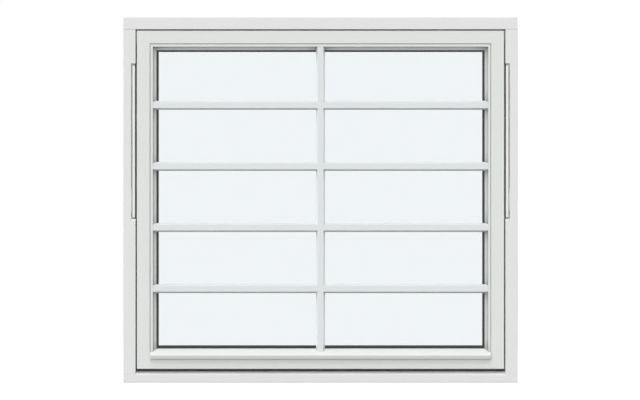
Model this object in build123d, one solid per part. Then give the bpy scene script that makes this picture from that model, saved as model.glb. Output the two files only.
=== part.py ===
from build123d import *
import os

# Pivot window, closed, in its fixed frame. Millimetres.
# X runs along the window, Z is up and the outside faces -Y.
# The origin lies under the middle of the sill, halfway through the frame's depth.

# Fixed frame
frame_width = 1380.0
frame_height = 1280.0
frame_depth = 115.0
frame_face = 43.0
sill_front = 30.0
sill_slope_run = 24.0
sill_slope_rise = 10.0
sill_ledge_fall = 1.5
stop_overlap = 11.0
frame_arris = 2.0
sill_arris = 3.0

# Channel in the jambs, behind the outer lip, where the fittings lie
lip_depth = 17.5
channel_width = 15.5

# Sash
side_gap = 4.0
head_gap = 4.0
sill_gap = 18.5
sash_setback = 2.0
sash_depth = 78.0
seal_gap = 3.0
sash_face = 47.0
bottom_face = 50.0
stile_width = 75.0
top_rail_width = 73.0
bottom_rail_width = 81.0
inner_lip_depth = 18.0
sash_arris = 2.5
rebate_arris = 3.0
inner_arris = 5.0
drip_groove_width = 6.0
drip_groove_depth = 5.0
drip_groove_inset = 12.0

# Sealed triple glazing
pane_thickness = 4.0
cavity = 12.0
glass_clearance = 5.0
spacer_width = 7.0
spacer_inset = 3.0
spacer_bar_width = 18.0

# Seals
glazing_tape = 3.0
tape_show = 1.5
gasket_thickness = 3.0
gasket_show_side = 7.5
gasket_show_top = 6.0
gasket_show_bottom = 11.0
gasket_edge = 1.2
weather_seal_width = 7.0

# Glazing beads
bead_width = 21.4
bead_setback = 1.0
bead_flat = 9.0
bead_edge = 3.5
bead_cove = 2.4
bead_arris = 2.5

# Drip bead along the foot of the glass
drip_proud = 13.2
drip_rise_per_run = 0.717
drip_nose_height = 14.0
drip_nose_lean = 3.5
drip_nose_round = 5.0
drip_under_round = 2.0
nose_groove_width = 4.0
nose_groove_depth = 4.0
nose_groove_inset = 2.7

# Glazing bars
columns = 2
rows = 5
bar_width = 31.5
bar_flat = 20.5
bar_foot_line = 17.0
bar_wall = 5.0
bar_setback = 1.0
inner_bar_depth = 19.0

# Pivot fittings in the jambs
arm_length = 530.5
arm_below_pivot = 62.0
arm_foot_gap = 4.75
arm_head_gap = 8.75
notch_bevel = 6.0
arm_thickness = 10.0
arm_depth = 14.5
arm_wall_gap = 3.7
arm_setback = 1.5
arm_round = 3.0
pivot_pin_radius = 4.0
pivot_plate_margin = 1.0
pin_clearance = 0.1
plate_thickness = 2.0
plate_length = 80.0
boss_clearance = 0.2
guide_from_sash_top = 20.0
rail_width = 22.0
rail_height = 12.5
rail_wall = 1.5
rail_lip = 3.0
rail_behind_lip = 6.0
rail_end_gap = 8.0
shoe_length = 44.0
shoe_clearance = 0.3
guide_pin_radius = 4.0
guide_plate_length = 50.0

# Fixing holes through the jambs
fixing_radius = 5.5
fixing_from_end = 200.0
fixing_behind_middle = 8.0

# Handle on the inside of the bottom rail
rose_length = 70.0
rose_height = 30.0
rose_thickness = 9.0
neck_radius = 9.0
neck_length = 29.0
grip_length = 125.0
grip_height = 20.0
grip_tip_height = 16.0
grip_thickness = 12.0
grip_round = 4.0

# Planes through the depth of the window, from outside to inside
y_front = -frame_depth / 2
y_back = frame_depth / 2
y_lip = y_front + lip_depth
y_sash = y_front + sash_setback
y_sash_back = y_sash + sash_depth
y_stop = y_sash_back + seal_gap
y_bed = y_sash_back - inner_lip_depth
y_glass_back = y_bed - glazing_tape
glass_depth = 3 * pane_thickness + 2 * cavity
y_glass = y_glass_back - glass_depth
y_bead_back = y_glass - gasket_thickness
y_bead = y_sash + bead_setback

# Planes across the right half; the left half mirrors them
x_out = frame_width / 2
x_lip = x_out - frame_face
x_channel = x_lip + channel_width
x_sash = x_lip - side_gap
x_stop = x_sash - stop_overlap
x_rebate = x_sash - sash_face
x_inner = x_sash - stile_width
x_glass = x_rebate - glass_clearance
x_gasket = x_rebate - bead_width - gasket_show_side

# Levels from the sill up to the head
z_slope_top = sill_front + sill_slope_rise
z_ledge = z_slope_top + sill_ledge_fall
z_base = sill_front + sill_gap
z_sill_stop = z_base + stop_overlap
z_rebate_low = z_base + bottom_face
z_drip = z_rebate_low + bead_width
z_glass_low = z_rebate_low + glass_clearance
z_gasket_low = z_drip + gasket_show_bottom
z_inner_low = z_base + bottom_rail_width
z_head = frame_height - frame_face
z_top = z_head - head_gap
z_head_stop = z_top - stop_overlap
z_rebate_top = z_top - sash_face
z_glass_top = z_rebate_top - glass_clearance
z_gasket_top = z_rebate_top - bead_width - gasket_show_top
z_inner_top = z_top - top_rail_width

# Bars share out the height between a line just over the foot of the rebate and its top
z_bar_foot = z_rebate_low + bar_foot_line
bar_pitch = (z_rebate_top - z_bar_foot) / rows
column_pitch = 2 * x_rebate / columns
bar_depth = y_glass - y_bead - bar_setback
bar_heights = [z_bar_foot + row * bar_pitch for row in range(1, rows)]
bar_places = [column * column_pitch - x_rebate for column in range(1, columns)]

# Pivot fittings: the frame pivot is at half the sash's height, and the sash pivot is
# halfway from it to the guide shoe, so that the sash can turn right over
z_frame_pivot = (z_base + z_top) / 2
z_guide = z_top - guide_from_sash_top
z_sash_pivot = (z_frame_pivot + z_guide) / 2
z_arm_low = z_frame_pivot - arm_below_pivot
z_arm_high = z_arm_low + arm_length
z_notch_low = z_arm_low - arm_foot_gap
z_notch_top = z_arm_high + arm_head_gap
x_arm_out = x_channel - arm_wall_gap
x_arm_in = x_arm_out - arm_thickness
y_arm = y_front + arm_setback
y_pivot = y_arm + arm_depth / 2
y_plate = y_pivot - pivot_pin_radius - pivot_plate_margin
y_rail = y_lip + rail_behind_lip
y_rail_middle = y_rail + rail_width / 2
x_rail = x_channel - rail_height


def flat(points, rounds=()):
    """Face through the points, with some of its corners rounded."""
    face = make_face(Polyline(*points, close=True)).face()
    for corner, radius in rounds:
        nearest = face.vertices().sort_by_distance((corner[0], corner[1], 0))[0]
        face = face.fillet_2d(radius, [nearest])
    return face


def upright(points, z_from, z_to, rounds=()):
    """Moulding that stands along Z, with its outline in X and Y."""
    return Pos(0, 0, z_from) * extrude(flat(points, rounds), z_to - z_from, dir=(0, 0, 1))


def level(points, x_from, x_to, rounds=()):
    """Moulding that lies along X, with its outline in Y and Z."""
    end = Plane(origin=(x_from, 0, 0), x_dir=(0, 1, 0), z_dir=(1, 0, 0))
    return extrude(end * flat(points, rounds), x_to - x_from, dir=(1, 0, 0))


def block(x_from, x_to, y_from, y_to, z_from, z_to):
    """Plain block between six planes."""
    middle = Pos((x_from + x_to) / 2, (y_from + y_to) / 2, (z_from + z_to) / 2)
    return middle * Box(x_to - x_from, y_to - y_from, z_to - z_from)


def rod(x_from, x_to, y, z, radius):
    """Round rod along X."""
    along = Align.MIN
    turned = Pos(x_from, y, z) * Rot(0, 90, 0)
    return turned * Cylinder(radius, x_to - x_from, align=(Align.CENTER, Align.CENTER, along))


def other_side(shape):
    """The same piece on the left."""
    return mirror(shape, about=Plane.YZ)


def frame_head():
    """Head, which runs over both jambs."""
    points = [
        (y_front, z_head),
        (y_stop, z_head),
        (y_stop, z_head_stop),
        (y_back, z_head_stop),
        (y_back, frame_height),
        (y_front, frame_height),
    ]
    rounds = [
        ((y_front, z_head), frame_arris),
        ((y_front, frame_height), frame_arris),
        ((y_back, z_head_stop), frame_arris),
        ((y_stop, z_head_stop), frame_arris),
    ]
    return level(points, -x_out, x_out, rounds)


def frame_sill(rounded=True):
    """Sill, which runs under both jambs and falls to the outside."""
    points = [
        (y_front, 0),
        (y_back, 0),
        (y_back, z_sill_stop),
        (y_stop, z_sill_stop),
        (y_stop, z_ledge),
        (y_front + sill_slope_run, z_slope_top),
        (y_front, sill_front),
    ]
    rounds = [
        ((y_front, sill_front), sill_arris),
        ((y_back, z_sill_stop), frame_arris),
        ((y_stop, z_sill_stop), frame_arris),
    ]
    return level(points, -x_out, x_out, rounds if rounded else ())


def arm_notch():
    """Opening in the jamb's lip for the pivot arm, with a bevel at its foot."""
    proud = 1.0
    points = [
        (y_lip + proud, z_notch_low),
        (y_front + notch_bevel, z_notch_low),
        (y_front - proud, z_notch_low - notch_bevel - proud),
        (y_front - proud, z_notch_top),
        (y_lip + proud, z_notch_top),
    ]
    return level(points, x_lip - proud, x_channel)


def frame_jamb(head):
    """Right jamb: outer lip, channel for the fittings and inner stop."""
    points = [
        (x_out, y_front),
        (x_lip, y_front),
        (x_lip, y_lip),
        (x_channel, y_lip),
        (x_channel, y_stop),
        (x_stop, y_stop),
        (x_stop, y_back),
        (x_out, y_back),
    ]
    rounds = [
        ((x_lip, y_front), frame_arris),
        ((x_out, y_front), frame_arris),
        ((x_stop, y_back), frame_arris),
        ((x_stop, y_stop), frame_arris),
    ]
    jamb = upright(points, 0, z_head, rounds)
    jamb = jamb - head - frame_sill(rounded=False) - arm_notch()
    for z in (fixing_from_end, frame_height - fixing_from_end):
        jamb = jamb - rod(x_channel - 1, x_out + 1, fixing_behind_middle, z, fixing_radius)
    return jamb


def sash_stile():
    """Right stile, full height, with the glazing rebate open to the outside."""
    points = [
        (x_sash, y_sash),
        (x_rebate + rebate_arris, y_sash),
        (x_rebate, y_sash + rebate_arris),
        (x_rebate, y_bed),
        (x_inner, y_bed),
        (x_inner, y_sash_back),
        (x_sash, y_sash_back),
    ]
    rounds = [((x_inner, y_sash_back), inner_arris), ((x_sash, y_sash_back), sash_arris)]
    stile = upright(points, z_base, z_top, rounds)
    front = stile.edges().group_by(Axis.Y)[0]
    arrises = [edge for edge in front if edge.center().X > x_rebate + rebate_arris + 1]
    return fillet(arrises, sash_arris)


def sash_top_rail(stiles):
    """Top rail, scribed over the stiles at its ends."""
    points = [
        (y_sash, z_top),
        (y_sash, z_rebate_top + rebate_arris),
        (y_sash + rebate_arris, z_rebate_top),
        (y_bed, z_rebate_top),
        (y_bed, z_inner_top),
        (y_sash_back, z_inner_top),
        (y_sash_back, z_top),
    ]
    rounds = [
        ((y_sash, z_top), sash_arris),
        ((y_sash_back, z_inner_top), inner_arris),
        ((y_sash_back, z_top), sash_arris),
    ]
    reach = x_rebate + rebate_arris
    return level(points, -reach, reach, rounds) - stiles[0] - stiles[1]


def sash_bottom_rail(stiles):
    """Bottom rail, with a groove underneath that sheds drips."""
    groove_from = y_sash + drip_groove_inset
    groove_to = groove_from + drip_groove_width
    points = [
        (y_sash, z_base),
        (y_sash, z_rebate_low),
        (y_bed, z_rebate_low),
        (y_bed, z_inner_low),
        (y_sash_back, z_inner_low),
        (y_sash_back, z_base),
        (groove_to, z_base),
        (groove_to, z_base + drip_groove_depth),
        (groove_from, z_base + drip_groove_depth),
        (groove_from, z_base),
    ]
    rounds = [
        ((y_sash, z_base), sash_arris),
        ((y_sash_back, z_inner_low), inner_arris),
        ((y_sash_back, z_base), sash_arris),
    ]
    reach = x_rebate + rebate_arris
    return level(points, -reach, reach, rounds) - stiles[0] - stiles[1]


def bead_section():
    """Section of a glazing bead: X is the way in from the rebate, Y the depth."""
    depth = y_bead_back - y_bead
    start = Vector(bead_flat, 0)
    end = Vector(bead_width, depth - bead_edge)
    chord = end - start
    hollow = Vector(-chord.Y, chord.X).normalized() * bead_cove
    cove = ThreePointArc(start, (start + end) / 2 + hollow, end)
    rest = Polyline(end, (bead_width, depth), (0, depth), (0, 0), start)
    face = make_face(cove + rest).face()
    corner = face.vertices().sort_by_distance((0, 0, 0))[0]
    return face.fillet_2d(bead_arris, [corner])


def mitre_waste(upper):
    """Waste off the right end of a mitre at the top corner, above or below the joint."""
    reach = 2 * bead_width
    far = (x_rebate - reach, z_rebate_top) if upper else (x_rebate, z_rebate_top - reach)
    points = [(x_rebate, z_rebate_top), far, (x_rebate - reach, z_rebate_top - reach)]
    face = Plane.XZ.offset(-y_glass) * flat(points)
    return extrude(face, y_glass - y_front, dir=(0, -1, 0))


def bead_side(drip):
    """Right bead: mitred at the top, scribed to the drip bead at the foot."""
    foot = Plane(origin=(x_rebate, y_bead, z_rebate_low), x_dir=(-1, 0, 0), z_dir=(0, 0, -1))
    bead = extrude(foot * bead_section(), z_rebate_top - z_rebate_low, dir=(0, 0, 1))
    return bead - mitre_waste(upper=True) - drip


def bead_top():
    """Top bead, mitred at both ends."""
    end = Plane(origin=(-x_rebate, y_bead, z_rebate_top), x_dir=(0, 0, -1), z_dir=(1, 0, 0))
    bead = extrude(end * bead_section(), 2 * x_rebate, dir=(1, 0, 0))
    waste = mitre_waste(upper=False)
    return bead - waste - other_side(waste)


def drip_bead():
    """Sloping bead at the foot of the glass, with a nose that overhangs the rail."""
    y_nose = y_sash - drip_proud
    z_nose = z_drip - drip_rise_per_run * (y_bead_back - y_nose)
    z_under = z_nose - drip_nose_height
    groove_to = y_sash - nose_groove_inset
    groove_from = groove_to - nose_groove_width
    y_under = y_nose + drip_nose_lean
    points = [
        (y_bead_back, z_rebate_low),
        (y_bead_back, z_drip),
        (y_nose, z_nose),
        (y_under, z_under),
        (groove_from, z_under),
        (groove_from, z_under + nose_groove_depth),
        (groove_to, z_under + nose_groove_depth),
        (groove_to, z_under),
        (y_sash, z_under),
        (y_sash, z_rebate_low),
    ]
    rounds = [((y_nose, z_nose), drip_nose_round), ((y_under, z_under), drip_under_round)]
    return level(points, -x_rebate, x_rebate, rounds)


def ring(y_from, y_to, outer, inner, edge=0.0):
    """Flat ring in the plane of the window, between two rectangles given as
    half width, foot and head, with the inner edge on its outside face eased."""
    plate = block(-outer[0], outer[0], y_from, y_to, outer[1], outer[2])
    hole = block(-inner[0], inner[0], y_from - 1, y_to + 1, inner[1], inner[2])
    band = plate - hole
    if edge:
        front = band.edges().group_by(Axis.Y)[0]
        height = inner[2] - inner[1]
        lengths = (2 * inner[0], height)
        eased = [line for line in front if min(abs(line.length - side) for side in lengths) < 0.01]
        band = chamfer(eased, edge)
    return band


def outer_gasket():
    """Rubber gasket between the beads and the outer pane."""
    outer = (x_glass, z_glass_low, z_glass_top)
    inner = (x_gasket, z_gasket_low, z_gasket_top)
    return ring(y_bead_back, y_glass, outer, inner, gasket_edge)


def inner_gasket():
    """Rubber bedding between the inner pane and the sash."""
    outer = (x_glass, z_glass_low, z_glass_top)
    inner = (x_inner - tape_show, z_inner_low + tape_show, z_inner_top - tape_show)
    return ring(y_glass_back, y_bed, outer, inner)


def weather_seal():
    """Rubber seal between the sash and the inner stop."""
    margin = (stop_overlap - weather_seal_width) / 2
    inset = margin + weather_seal_width
    outer = (x_sash - margin, z_base + margin, z_top - margin)
    inner = (x_sash - inset, z_base + inset, z_top - inset)
    return ring(y_sash_back, y_stop, outer, inner)


def pane(number):
    """One sheet of the sealed glazing, counted from the outside."""
    y_from = y_glass + number * (pane_thickness + cavity)
    return block(-x_glass, x_glass, y_from, y_from + pane_thickness, z_glass_low, z_glass_top)


def spacer_grid(number):
    """Spacer round a glazing cavity, with the dummy bars that line up with the glazing bars."""
    y_from = y_glass + pane_thickness + number * (pane_thickness + cavity)
    y_to = y_from + cavity
    x_edge = x_glass - spacer_inset
    z_low = z_glass_low + spacer_inset
    z_high = z_glass_top - spacer_inset
    outer = (x_edge, z_low, z_high)
    inner = (x_edge - spacer_width, z_low + spacer_width, z_high - spacer_width)
    grid = ring(y_from, y_to, outer, inner)
    half = spacer_bar_width / 2
    for x in bar_places:
        grid = grid + block(x - half, x + half, y_from, y_to, z_low, z_high)
    for z in bar_heights:
        grid = grid + block(-x_edge, x_edge, y_from, y_to, z - half, z + half)
    return grid


def bar_section(depth):
    """Section of a glazing bar: X runs across it and Y stands off the glass."""
    half = bar_width / 2
    half_flat = bar_flat / 2
    wall = bar_wall if depth > 0 else -bar_wall
    return flat(
        [
            (-half, 0),
            (-half, wall),
            (-half_flat, depth),
            (half_flat, depth),
            (half, wall),
            (half, 0),
        ]
    )


def bar_upright(x, y_seat, depth):
    """Bar along Z, as long as the glass."""
    foot = Plane(origin=(x, y_seat, z_glass_low), x_dir=(1, 0, 0), z_dir=(0, 0, 1))
    return extrude(foot * bar_section(depth), z_glass_top - z_glass_low, dir=(0, 0, 1))


def bar_level(z, y_seat, depth):
    """Bar along X, as long as the glass."""
    end = Plane(origin=(x_glass, y_seat, z), x_dir=(0, 0, 1), z_dir=(-1, 0, 0))
    return extrude(end * bar_section(depth), 2 * x_glass, dir=(-1, 0, 0))


def bar_nodes(prefix, y_seat, depth, neighbours):
    """Bars on one side of the glass, scribed to what they run into and to each other."""
    nodes = {}
    uprights = []
    for place, x in enumerate(bar_places, start=1):
        bar = bar_upright(x, y_seat, depth)
        for neighbour in neighbours:
            bar = bar - neighbour
        uprights.append(bar)
        nodes[f"{prefix}_bar_upright_{place}"] = bar
    for place, z in enumerate(bar_heights, start=1):
        bar = bar_level(z, y_seat, depth)
        for neighbour in neighbours + uprights:
            bar = bar - neighbour
        nodes[f"{prefix}_bar_level_{place}"] = bar
    return nodes


def pivot_arm():
    """Long arm that lies in the notch of the right jamb when the window is shut."""
    arm = block(x_arm_in, x_arm_out, y_arm, y_arm + arm_depth, z_arm_low, z_arm_high)
    front = arm.edges().group_by(Axis.Y)[0]
    arm = fillet(front, arm_round)
    for z in (z_frame_pivot, z_sash_pivot):
        radius = pivot_pin_radius + pin_clearance
        arm = arm - rod(x_arm_in - 1, x_arm_out + 1, y_pivot, z, radius)
    return arm


def frame_pivot():
    """Plate on the wall of the notch, with the pin that the arm turns on."""
    x_face = x_channel - plate_thickness
    half = plate_length / 2
    z_low = z_frame_pivot - half
    z_high = z_frame_pivot + half
    plate = block(x_face, x_channel, y_plate, y_rail - boss_clearance, z_low, z_high)
    pin = rod(x_arm_in + plate_thickness, x_face, y_pivot, z_frame_pivot, pivot_pin_radius)
    return plate + pin


def sash_pivot():
    """Plate on the edge of the sash, with the boss and pin that the arm carries."""
    x_face = x_sash + plate_thickness
    half = plate_length / 2
    z_low = z_sash_pivot - half
    z_high = z_sash_pivot + half
    y_low = y_sash + sash_arris + 0.5
    plate = block(x_sash, x_face, y_low, y_rail_middle, z_low, z_high)
    boss = rod(x_face, x_arm_in - boss_clearance, y_pivot, z_sash_pivot, pivot_pin_radius + 1)
    pin = rod(x_face, x_arm_out - plate_thickness, y_pivot, z_sash_pivot, pivot_pin_radius)
    return plate + boss + pin


def guide_rail():
    """Lipped channel that the guide shoe runs down."""
    z_low = z_base + rail_end_gap
    z_high = z_head - rail_end_gap
    y_far = y_rail + rail_width
    points = [
        (x_channel, y_rail),
        (x_rail, y_rail),
        (x_rail, y_rail + rail_wall + rail_lip),
        (x_rail + rail_wall, y_rail + rail_wall + rail_lip),
        (x_rail + rail_wall, y_rail + rail_wall),
        (x_channel - rail_wall, y_rail + rail_wall),
        (x_channel - rail_wall, y_far - rail_wall),
        (x_rail + rail_wall, y_far - rail_wall),
        (x_rail + rail_wall, y_far - rail_wall - rail_lip),
        (x_rail, y_far - rail_wall - rail_lip),
        (x_rail, y_far),
        (x_channel, y_far),
    ]
    return upright(points, z_low, z_high)


def guide_shoe():
    """Slide block in the rail, near the top corner of the sash."""
    half = shoe_length / 2
    inset = rail_wall + shoe_clearance
    shoe = block(
        x_rail + inset,
        x_channel - inset,
        y_rail + inset,
        y_rail + rail_width - inset,
        z_guide - half,
        min(z_guide + half, z_head - rail_end_gap),
    )
    ends = shoe.edges().filter_by(Axis.X)
    shoe = fillet(ends, shoe_length / 9)
    radius = guide_pin_radius + pin_clearance
    return shoe - rod(x_rail, x_channel, y_rail_middle, z_guide, radius)


def guide_pin():
    """Plate on the edge of the sash, with the stud that carries the guide shoe."""
    x_face = x_sash + plate_thickness
    half = guide_plate_length / 2
    z_high = min(z_guide + half, z_top)
    reach = rail_width / 2
    plate = block(
        x_sash,
        x_face,
        y_rail_middle - reach,
        y_rail_middle + reach,
        z_guide - half,
        z_high,
    )
    x_end = x_channel - rail_wall - shoe_clearance
    return plate + rod(x_face, x_end, y_rail_middle, z_guide, guide_pin_radius)


def handle_rose(z):
    """Oval rose with the neck of the handle, on the inside of the bottom rail."""
    face = Plane(origin=(0, y_sash_back, z), x_dir=(1, 0, 0), z_dir=(0, 1, 0))
    rose = extrude(face * SlotOverall(rose_length, rose_height), rose_thickness, dir=(0, 1, 0))
    rose = fillet(rose.edges().group_by(Axis.Y)[-1], rose_thickness / 4)
    neck = extrude(face * Circle(neck_radius), rose_thickness + neck_length, dir=(0, 1, 0))
    return rose + neck


def handle_grip(z):
    """Grip, level when the window is shut."""
    y_from = y_sash_back + rose_thickness + neck_length
    points = [
        (-grip_height / 2, -grip_height / 2),
        (grip_length, -grip_tip_height / 2),
        (grip_length, grip_tip_height / 2),
        (-grip_height / 2, grip_height / 2),
    ]
    rounds = [
        (points[0], grip_height / 2.5),
        (points[1], grip_tip_height / 2.5),
        (points[2], grip_tip_height / 2.5),
        (points[3], grip_height / 2.5),
    ]
    face = Plane(origin=(0, y_from, z), x_dir=(1, 0, 0), z_dir=(0, -1, 0))
    grip = extrude(face * flat(points, rounds), grip_thickness, dir=(0, 1, 0))
    return fillet(grip.edges().group_by(Axis.Y)[-1], grip_round)


def build():
    """Every piece of the window under its own name."""
    nodes = {}
    head = frame_head()
    jamb = frame_jamb(head)
    nodes["frame_head"] = head
    nodes["frame_sill"] = frame_sill()
    nodes["frame_jamb_right"] = jamb
    nodes["frame_jamb_left"] = other_side(jamb)
    nodes["weather_seal"] = weather_seal()

    stile = sash_stile()
    stiles = [stile, other_side(stile)]
    top_rail = sash_top_rail(stiles)
    bottom_rail = sash_bottom_rail(stiles)
    nodes["sash_stile_right"] = stiles[0]
    nodes["sash_stile_left"] = stiles[1]
    nodes["sash_top_rail"] = top_rail
    nodes["sash_bottom_rail"] = bottom_rail

    drip = drip_bead()
    side = bead_side(drip)
    beads = [drip, side, other_side(side), bead_top()]
    nodes["drip_bead"] = beads[0]
    nodes["bead_right"] = beads[1]
    nodes["bead_left"] = beads[2]
    nodes["bead_top"] = beads[3]

    gasket = outer_gasket()
    bedding = inner_gasket()
    nodes["outer_gasket"] = gasket
    nodes["inner_gasket"] = bedding
    for number, name in enumerate(("outer", "middle", "inner")):
        nodes[f"glass_{name}"] = pane(number)
    for number, name in enumerate(("outer", "inner")):
        nodes[f"spacer_{name}"] = spacer_grid(number)

    nodes.update(bar_nodes("outer", y_glass, -bar_depth, beads + [gasket]))
    sash = [bottom_rail, top_rail] + stiles
    nodes.update(bar_nodes("inner", y_glass_back, inner_bar_depth, sash + [bedding]))

    fittings = {
        "pivot_arm": pivot_arm(),
        "frame_pivot": frame_pivot(),
        "sash_pivot": sash_pivot(),
        "guide_rail": guide_rail(),
        "guide_shoe": guide_shoe(),
        "guide_pin": guide_pin(),
    }
    for name, shape in fittings.items():
        nodes[f"{name}_right"] = shape
        nodes[f"{name}_left"] = other_side(shape)

    z_handle = (z_sill_stop + z_inner_low) / 2
    nodes["handle_rose"] = handle_rose(z_handle)
    nodes["handle_grip"] = handle_grip(z_handle)
    return nodes


os.makedirs("parts", exist_ok=True)
for node_name, node_shape in build().items():
    node_shape.label = node_name
    export_step(node_shape, f"parts/{node_name}.step")
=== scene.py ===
import math

import bmesh
import bpy
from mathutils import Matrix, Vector


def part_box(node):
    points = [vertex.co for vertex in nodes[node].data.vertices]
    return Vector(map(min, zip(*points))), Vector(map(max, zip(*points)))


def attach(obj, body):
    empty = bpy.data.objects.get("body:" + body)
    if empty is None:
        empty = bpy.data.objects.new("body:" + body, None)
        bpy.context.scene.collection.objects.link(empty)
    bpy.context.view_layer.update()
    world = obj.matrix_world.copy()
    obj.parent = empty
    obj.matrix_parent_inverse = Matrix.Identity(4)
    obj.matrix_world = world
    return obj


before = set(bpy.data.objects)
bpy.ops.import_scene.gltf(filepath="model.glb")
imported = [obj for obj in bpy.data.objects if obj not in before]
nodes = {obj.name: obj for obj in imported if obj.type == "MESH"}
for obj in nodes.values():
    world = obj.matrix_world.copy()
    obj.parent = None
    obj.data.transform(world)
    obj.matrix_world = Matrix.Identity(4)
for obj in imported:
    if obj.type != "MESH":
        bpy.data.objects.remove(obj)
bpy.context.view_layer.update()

# The photograph: its size and the window's middle in pixels, and the scale at the jambs' faces
photo_width = 640
photo_height = 400
window_middle_x = 320.5
window_middle_y = 200.0
metres_per_pixel = 0.0035

# The camera stands far off, because the photograph shows almost no perspective
camera_distance = 50.0
sensor_width = 0.036

# Light: what the surround and each lamp add to a white surface that faces them
soft_light = 0.34
front_light = 0.355
top_light = 0.56
back_light_left = 0.48
back_light_right = 0.32

# The pale floor: its darkest and lightest tone, the glow that the camera sees on it, and its reach
floor_tones = (0.325, 0.335)
floor_glow = 0.69
floor_half_width = 12.0

# Noise lies nearly all between these two
noise_low = 0.3
noise_high = 0.7

# Marks are drawn out along an axis by squeezing the noise there
along_x = (0.035, 1, 1)
along_z = (1, 1, 0.035)
no_stretch = (1, 1, 1)

# Grain under the paint: how the tone rises with the noise
grain_streaks = [(0.35, 0.985), (0.6, 1.0)]

# Painted shade: the paint greys in corners, grooves and coves where shade falls: how dark, how
# closed in the place is, and how near to it
frame_painted_shade = (0.88, 0.4, 0.012)
# Painted shade on the beads differs for each side and the top, set by where the light falls on
# each
left_bead_painted_shade = (0.42, 0.6, 0.05)
right_bead_painted_shade = (0.45, 0.74, 0.05)
top_bead_painted_shade = (0.34, 0.7, 0.05)

# What a pane leaves of light in each colour
glass_tint = (0.953, 0.966, 0.975)

# Edges sharper than this stay crisp
crisp_angle = math.radians(28)

# Screws of the handle's rose, turned as they happened to stop. The profile is in shares of
# a head's radius and height, and the cross narrows and sinks by shares of its own too
rose_thickness = 0.009
screw_spacing = 0.046
screw_turns = (20, 65)
screw_radius = 0.0036
screw_height = 0.0014
screw_profile = [(1.0, 0.0), (1.0, 0.25), (0.88, 0.7), (0.75, 0.9)]
screw_slot_width = 0.0012
screw_slot_reach = 0.0021
slot_foot_narrowing = 0.75
slot_foot_height = 0.3
rounding_error = 1e-9


def add_camera():
    """Camera square on to the outside, as in the photograph."""
    y_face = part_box("frame_jamb_left")[0].y
    z_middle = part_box("frame_head")[1].z / 2
    data = bpy.data.cameras.new("camera")
    camera = bpy.data.objects.new("camera", data)
    bpy.context.scene.collection.objects.link(camera)
    x = (photo_width / 2 - window_middle_x) * metres_per_pixel
    z = z_middle + (window_middle_y - photo_height / 2) * metres_per_pixel
    camera.location = (x, y_face - camera_distance, z)
    camera.rotation_euler = (math.radians(90), 0, 0)
    data.sensor_width = sensor_width * 1000
    data.lens = data.sensor_width * camera_distance / (photo_width * metres_per_pixel)
    data.clip_end = 4 * camera_distance
    bpy.context.scene.camera = camera


class Shader:
    """A material being wired up from nodes."""

    def __init__(self, name):
        self.material = bpy.data.materials.new(name)
        self.material.use_nodes = True
        self.tree = self.material.node_tree
        self.surface = self.tree.nodes["Principled BSDF"]
        self.coordinates = self.tree.nodes.new("ShaderNodeTexCoord").outputs["Object"]

    def node(self, kind, **settings):
        """A new node with its settings."""
        made = self.tree.nodes.new("ShaderNode" + kind)
        for key, value in settings.items():
            setattr(made, key, value)
        return made

    def link(self, source, target):
        """Wires an output to an input."""
        self.tree.links.new(source, target)

    def constants(self, **values):
        """Plain values on the surface's inputs, with underscores for spaces."""
        for key, value in values.items():
            self.surface.inputs[key.replace("_", " ")].default_value = value

    def noise(self, scale, detail=3.0, stretch=no_stretch, roughness=0.5):
        """Noise of so many waves to a metre, drawn out by stretch."""
        mapping = self.node("Mapping")
        mapping.inputs["Scale"].default_value = stretch
        texture = self.node("TexNoise")
        texture.inputs["Scale"].default_value = scale
        texture.inputs["Detail"].default_value = detail
        texture.inputs["Roughness"].default_value = roughness
        self.link(self.coordinates, mapping.inputs["Vector"])
        self.link(mapping.outputs["Vector"], texture.inputs["Vector"])
        return texture.outputs["Fac"]

    def ramp(self, source, stops):
        """Colours or greys along a factor, from a first stop to a last one."""
        ramp = self.node("ValToRGB")
        for element, (position, value) in zip(ramp.color_ramp.elements, stops):
            element.position = position
            element.color = colour(value)
        self.link(source, ramp.inputs["Fac"])
        return ramp.outputs["Color"]

    def clouded(self, source, base, darkest, lightest):
        """A colour that noise shades between two shares of it."""
        return self.ramp(source, [(noise_low, shade(base, darkest)),
                                  (noise_high, shade(base, lightest))])

    def spread(self, source, low, high):
        """A number that noise moves between two values."""
        spread = self.node("MapRange")
        spread.inputs["From Min"].default_value = noise_low
        spread.inputs["From Max"].default_value = noise_high
        spread.inputs["To Min"].default_value = low
        spread.inputs["To Max"].default_value = high
        self.link(source, spread.inputs["Value"])
        return spread.outputs["Result"]

    def openness(self, reach):
        """From 0 deep in a corner or groove to 1 on an open face."""
        occlusion = self.node("AmbientOcclusion", samples=8)
        occlusion.inputs["Distance"].default_value = reach
        return occlusion.outputs["AO"]

    def times(self, first, second):
        """Two colours multiplied."""
        mix = self.node("Mix", data_type="RGBA", blend_type="MULTIPLY")
        mix.inputs["Factor"].default_value = 1.0
        self.link(first, mix.inputs["A"])
        self.link(second, mix.inputs["B"])
        return mix.outputs["Result"]

    def bump(self, source, height, below=None):
        """Relief of the given height in metres, on top of another relief."""
        bump = self.node("Bump")
        bump.inputs["Distance"].default_value = height
        bump.inputs["Strength"].default_value = 1.0
        self.link(source, bump.inputs["Height"])
        if below is not None:
            self.link(below, bump.inputs["Normal"])
        return bump.outputs["Normal"]


def colour(value):
    """Linear colour from one grey or from three values."""
    if isinstance(value, (int, float)):
        return (value, value, value, 1.0)
    return (*value, 1.0)


def linear(red, green, blue):
    """Linear colour from the 0 to 255 values that a screen shows."""
    def channel(value):
        value /= 255
        return value / 12.92 if value <= 0.04045 else ((value + 0.055) / 1.055) ** 2.4
    return (channel(red), channel(green), channel(blue))


def shade(base, factor):
    """A colour made darker or lighter."""
    return tuple(value * factor for value in base)


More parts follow.
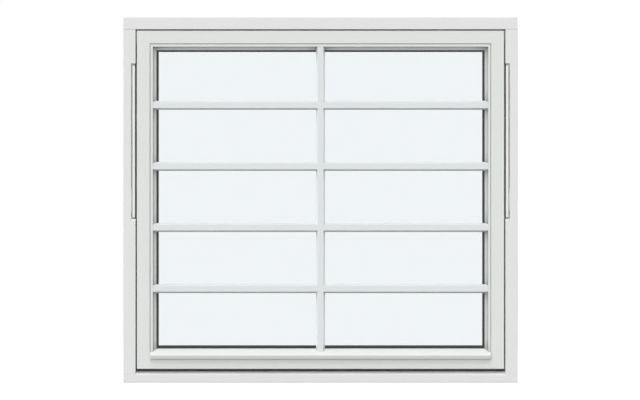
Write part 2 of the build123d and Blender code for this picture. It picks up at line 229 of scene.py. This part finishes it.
def math_node(tree, operation, first, second):
    """Result of one sum on two sockets, or on a socket and a number."""
    node = tree.nodes.new("ShaderNodeMath")
    node.operation = operation
    for socket, value in zip(node.inputs, (first, second)):
        if isinstance(value, float):
            socket.default_value = value
        else:
            tree.links.new(value, socket)
    return node.outputs["Value"]


def highest(tree, path, *kinds):
    """1 on a ray of any of the kinds."""
    result = path.outputs[kinds[0]]
    for kind in kinds[1:]:
        result = math_node(tree, "MAXIMUM", result, path.outputs[kind])
    return result


def paint(name, base, grain_along, corner_shade=frame_painted_shade):
    """Sprayed satin paint on planed softwood: the grain only just shows through."""
    shader = Shader(name)
    grain = shader.noise(scale=230, detail=4, stretch=grain_along, roughness=0.6)
    cloud = shader.noise(scale=7, detail=2)
    peel = shader.noise(scale=900, detail=2)
    tone = shader.clouded(cloud, base, darkest=0.985, lightest=1.01)
    tone = shader.times(tone, shader.ramp(grain, grain_streaks))
    # Painted shade: the tone greys in corners, grooves and coves, standing in for the shade there
    darkest, closed, reach = corner_shade
    tone = shader.times(tone, shader.ramp(shader.openness(reach), [(closed, darkest), (1.0, 1.0)]))
    shader.link(tone, shader.surface.inputs["Base Color"])
    shader.link(shader.spread(cloud, low=0.42, high=0.52), shader.surface.inputs["Roughness"])
    relief = shader.bump(grain, height=0.00006)
    relief = shader.bump(peel, height=0.00002, below=relief)
    shader.link(relief, shader.surface.inputs["Normal"])
    shader.constants(IOR=1.48)
    return shader.material


def glass_material():
    """Float glass with a faint cool tint. To lamplight, soft light and mirrored light it is
    plain tinted air, so that each lamp counts once behind it. A pane has two surfaces, so
    each takes the root of the tint."""
    shader = Shader("clear_float_glass")
    wave = shader.noise(scale=2.2, detail=1)
    film = shader.noise(scale=35, detail=3)
    shader.constants(
        Base_Color=(*glass_tint, 1),
        IOR=1.5,
        Transmission_Weight=1.0,
    )
    shader.link(shader.spread(film, low=0.0, high=0.015), shader.surface.inputs["Roughness"])
    shader.link(shader.bump(wave, height=0.0004), shader.surface.inputs["Normal"])
    path = shader.node("LightPath")
    mirrored = math_node(shader.tree, "SUBTRACT", path.outputs["Is Glossy Ray"],
                         path.outputs["Is Transmission Ray"])
    plain = highest(shader.tree, path, "Is Shadow Ray", "Is Diffuse Ray")
    plain = math_node(shader.tree, "MAXIMUM", plain, mirrored)
    clear = shader.node("BsdfTransparent")
    clear.inputs["Color"].default_value = (*[math.sqrt(value) for value in glass_tint], 1)
    choose = shader.node("MixShader")
    shader.link(plain, choose.inputs["Fac"])
    shader.link(shader.surface.outputs["BSDF"], choose.inputs[1])
    shader.link(clear.outputs["BSDF"], choose.inputs[2])
    out = shader.tree.nodes["Material Output"].inputs["Surface"]
    shader.link(choose.outputs["Shader"], out)
    return shader.material


def rubber_material(name, base):
    """Extruded rubber, with fine pits and a little bloom."""
    shader = Shader(name)
    bloom = shader.noise(scale=60, detail=3)
    pits = shader.noise(scale=1500, detail=2)
    tone = shader.clouded(bloom, base, darkest=0.85, lightest=1.25)
    shader.link(tone, shader.surface.inputs["Base Color"])
    shader.link(shader.spread(bloom, low=0.55, high=0.7), shader.surface.inputs["Roughness"])
    shader.link(shader.bump(pits, height=0.00003), shader.surface.inputs["Normal"])
    shader.constants(IOR=1.45)
    return shader.material


def metal_material(name, base, marks_along, smoothest, roughest):
    """Metal with brushing or drawing marks along one axis."""
    shader = Shader(name)
    marks = shader.noise(scale=900, detail=3, stretch=marks_along)
    cloud = shader.noise(scale=25, detail=3)
    tone = shader.clouded(cloud, base, darkest=0.9, lightest=1.06)
    shader.link(tone, shader.surface.inputs["Base Color"])
    shader.link(shader.spread(marks, smoothest, roughest), shader.surface.inputs["Roughness"])
    shader.link(shader.bump(marks, height=0.00002), shader.surface.inputs["Normal"])
    shader.constants(Metallic=1.0)
    return shader.material


def coat_material(name, base, smoothest, roughest):
    """Powder coat or moulded plastic with a fine even texture."""
    shader = Shader(name)
    peel = shader.noise(scale=650, detail=3)
    cloud = shader.noise(scale=12, detail=2)
    tone = shader.clouded(cloud, base, darkest=0.97, lightest=1.02)
    shader.link(tone, shader.surface.inputs["Base Color"])
    shader.link(shader.spread(cloud, smoothest, roughest), shader.surface.inputs["Roughness"])
    shader.link(shader.bump(peel, height=0.00003), shader.surface.inputs["Normal"])
    return shader.material


def dress(material, *names):
    """Gives CAD nodes a finished material."""
    for name in names:
        piece = nodes[name]
        piece.data.materials.clear()
        piece.data.materials.append(material)


def dress_frame():
    """The fixed frame's paint."""
    white = linear(230, 231, 230)
    dress(paint("frame_paint_level", white, along_x), "frame_head", "frame_sill")
    dress(paint("frame_paint_upright", white, along_z), "frame_jamb_left", "frame_jamb_right")


def dress_sash():
    """The paint of the sash, its beads and its glazing bars."""
    sash_white = linear(227, 230, 227)
    level = paint("sash_paint_level", sash_white, along_x)
    upright = paint("sash_paint_upright", sash_white, along_z)
    dress(level, "sash_top_rail", "sash_bottom_rail", "drip_bead")
    dress(upright, "sash_stile_left", "sash_stile_right")
    # One copy of the bead paint for each side and the top, differing only in painted shade
    dress(paint("bead_paint_top", sash_white, along_x, top_bead_painted_shade), "bead_top")
    dress(paint("bead_paint_left", sash_white, along_z, left_bead_painted_shade), "bead_left")
    dress(paint("bead_paint_right", sash_white, along_z, right_bead_painted_shade), "bead_right")

    bar_white = linear(227, 231, 231)
    level = paint("bar_paint_level", bar_white, along_x)
    upright = paint("bar_paint_upright", bar_white, along_z)
    for side in ("outer", "inner"):
        dress(upright, f"{side}_bar_upright_1")
        dress(level, *[f"{side}_bar_level_{number}" for number in range(1, 5)])


def dress_glazing():
    """Glass, its gaskets and spacers, and the frame's weather seal."""
    dress(glass_material(), "glass_outer", "glass_middle", "glass_inner")
    rubber = rubber_material("seal_rubber", linear(38, 41, 41))
    dress(rubber, "outer_gasket", "inner_gasket", "weather_seal")
    spacer = metal_material("spacer_aluminium", linear(120, 122, 124), along_x, 0.35, 0.5)
    dress(spacer, "spacer_outer", "spacer_inner")


def dress_fittings():
    """The pivot fittings in the jambs, and the handle."""
    arm = coat_material("arm_powder_coat", linear(238, 240, 238), 0.3, 0.42)
    zinc = metal_material("zinc_plate", linear(180, 180, 177), along_z, 0.42, 0.55)
    dark_steel = metal_material("dark_passivated_steel", linear(92, 92, 90), along_z, 0.45, 0.6)
    nylon = coat_material("shoe_nylon", linear(40, 40, 42), 0.45, 0.6)
    satin = metal_material("handle_satin", linear(188, 187, 183), along_x, 0.22, 0.36)
    for side in ("left", "right"):
        dress(arm, f"pivot_arm_{side}")
        dress(zinc, *[f"{name}_{side}" for name in ("frame_pivot", "guide_rail", "guide_pin")])
        dress(dark_steel, f"sash_pivot_{side}")
        dress(nylon, f"guide_shoe_{side}")
    dress(satin, "handle_rose", "handle_grip")


def cross_edge(angle):
    """How far the cross in a screw's head reaches from its middle at an angle."""
    across, along = sorted((abs(math.cos(angle)), abs(math.sin(angle))))
    half_width = screw_slot_width / 2
    if across * screw_slot_reach <= half_width * along + rounding_error:
        return screw_slot_reach / along
    return half_width / across


def screw_mesh():
    """Raised screw head with a cross recess, facing +Y, with its seat at the origin."""
    corner = math.atan2(screw_slot_width / 2, screw_slot_reach)
    quarter = [0, corner, math.radians(30), math.radians(45), math.radians(60),
               math.pi / 2 - corner]
    angles = [turn * math.pi / 2 + angle for turn in range(4) for angle in quarter]

    rings = [[(across * screw_radius, up * screw_height) for _ in angles]
             for across, up in screw_profile]
    rings.append([(cross_edge(angle), screw_height) for angle in angles])
    rings.append([(slot_foot_narrowing * cross_edge(angle), slot_foot_height * screw_height)
                  for angle in angles])

    mesh = bmesh.new()
    loops = [[mesh.verts.new((radius * math.cos(angle), height, radius * math.sin(angle)))
              for angle, (radius, height) in zip(angles, ring)] for ring in rings]
    count = len(angles)
    for outer, inner in zip(loops, loops[1:]):
        for place in range(count):
            after = (place + 1) % count
            mesh.faces.new((outer[place], outer[after], inner[after], inner[place]))
    mesh.faces.new(loops[-1])
    mesh.faces.new(loops[0])
    bmesh.ops.recalc_face_normals(mesh, faces=mesh.faces)
    made = bpy.data.meshes.new("screw_head")
    mesh.to_mesh(made)
    mesh.free()
    return made


def smooth(mesh):
    """Rounds shade smoothly and flats stay crisp."""
    mesh.set_sharp_from_angle(angle=crisp_angle)
    for face in mesh.polygons:
        face.use_smooth = True


def add_screws():
    """Two screws that hold the handle's rose to the bottom rail."""
    low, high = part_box("handle_rose")
    middle = (low + high) / 2
    face = low.y + rose_thickness
    steel = metal_material("screw_steel", linear(170, 170, 168), no_stretch, 0.25, 0.4)
    for number, (side, turn) in enumerate(zip((-1, 1), screw_turns), start=1):
        screw = bpy.data.objects.new(f"rose_screw_{number}", screw_mesh())
        bpy.context.scene.collection.objects.link(screw)
        screw.location = (middle.x + side * screw_spacing / 2, face, middle.z)
        screw.rotation_euler = (0, math.radians(turn), 0)
        screw.data.materials.append(steel)
        smooth(screw.data)
        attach(screw, "root")


def seen_directly(tree):
    """1 where the camera sees a surface itself, in a reflection or through glass, and 0 in
    the soft light that it throws on the window."""
    path = tree.nodes.new("ShaderNodeLightPath")
    seen = highest(tree, path, "Is Camera Ray", "Is Glossy Ray", "Is Transmission Ray")
    undimmed = math_node(tree, "LESS_THAN", path.outputs["Diffuse Depth"], 0.5)
    return math_node(tree, "MULTIPLY", seen, undimmed)


def add_floor():
    """Pale floor that meets a white surround and keeps the window's shadow."""
    mesh = bpy.data.meshes.new("floor")
    half = floor_half_width
    mesh.from_pydata([(-half, -half, 0), (half, -half, 0), (half, half, 0), (-half, half, 0)],
                     [], [(0, 1, 2, 3)])
    floor = bpy.data.objects.new("floor", mesh)
    bpy.context.scene.collection.objects.link(floor)
    shader = Shader("floor_white")
    darkest, lightest = floor_tones
    blotches = shader.noise(scale=3, detail=2)
    tone = shader.ramp(blotches, [(noise_low, darkest), (noise_high, lightest)])
    shader.link(tone, shader.surface.inputs["Base Color"])
    shader.constants(Roughness=0.9, Specular_IOR_Level=0.1)
    glow = shader.node("Emission")
    glow.inputs["Strength"].default_value = floor_glow
    dark = shader.node("Emission")
    dark.inputs["Strength"].default_value = 0.0
    choose = shader.node("MixShader")
    shader.link(seen_directly(shader.tree), choose.inputs["Fac"])
    shader.link(dark.outputs["Emission"], choose.inputs[1])
    shader.link(glow.outputs["Emission"], choose.inputs[2])
    both = shader.node("AddShader")
    shader.link(shader.surface.outputs["BSDF"], both.inputs[0])
    shader.link(choose.outputs["Shader"], both.inputs[1])
    shader.link(both.outputs["Shader"], shader.tree.nodes["Material Output"].inputs["Surface"])
    mesh.materials.append(shader.material)


def add_world():
    """Soft even light, seen as plain white by the camera, in reflections and through glass."""
    world = bpy.data.worlds.new("surround")
    bpy.context.scene.world = world
    world.use_nodes = True
    tree = world.node_tree
    background = tree.nodes["Background"]
    strength = tree.nodes.new("ShaderNodeMapRange")
    strength.inputs["To Min"].default_value = soft_light
    strength.inputs["To Max"].default_value = 1.0
    tree.links.new(seen_directly(tree), strength.inputs["Value"])
    tree.links.new(strength.outputs["Result"], background.inputs["Strength"])
    background.inputs["Color"].default_value = (1, 1, 1, 1)


def add_sun(name, azimuth, elevation, level, softness):
    """Wide soft light from a direction in degrees: azimuth 0 comes from the outside and 90
    from the right. Level is what it adds to a white surface that faces it, and softness is
    how wide it looks in degrees."""
    data = bpy.data.lights.new(name, "SUN")
    data.energy = level * math.pi
    data.angle = math.radians(softness)
    lamp = bpy.data.objects.new(name, data)
    bpy.context.scene.collection.objects.link(lamp)
    turn = math.radians(azimuth)
    rise = math.radians(elevation)
    across = math.cos(rise)
    towards = Vector((math.sin(turn) * across, -math.cos(turn) * across, math.sin(rise)))
    lamp.rotation_euler = towards.to_track_quat("Z", "Y").to_euler()


add_camera()
for piece in nodes.values():
    smooth(piece.data)
dress_frame()
dress_sash()
dress_glazing()
dress_fittings()
add_screws()
add_floor()
add_world()
add_sun("front", azimuth=-10, elevation=14, level=front_light, softness=24)
add_sun("top", azimuth=-20, elevation=66, level=top_light, softness=44)
add_sun("back_left", azimuth=-135, elevation=14, level=back_light_left, softness=30)
add_sun("back_right", azimuth=135, elevation=14, level=back_light_right, softness=30)
bpy.context.scene.view_settings.view_transform = "Standard"
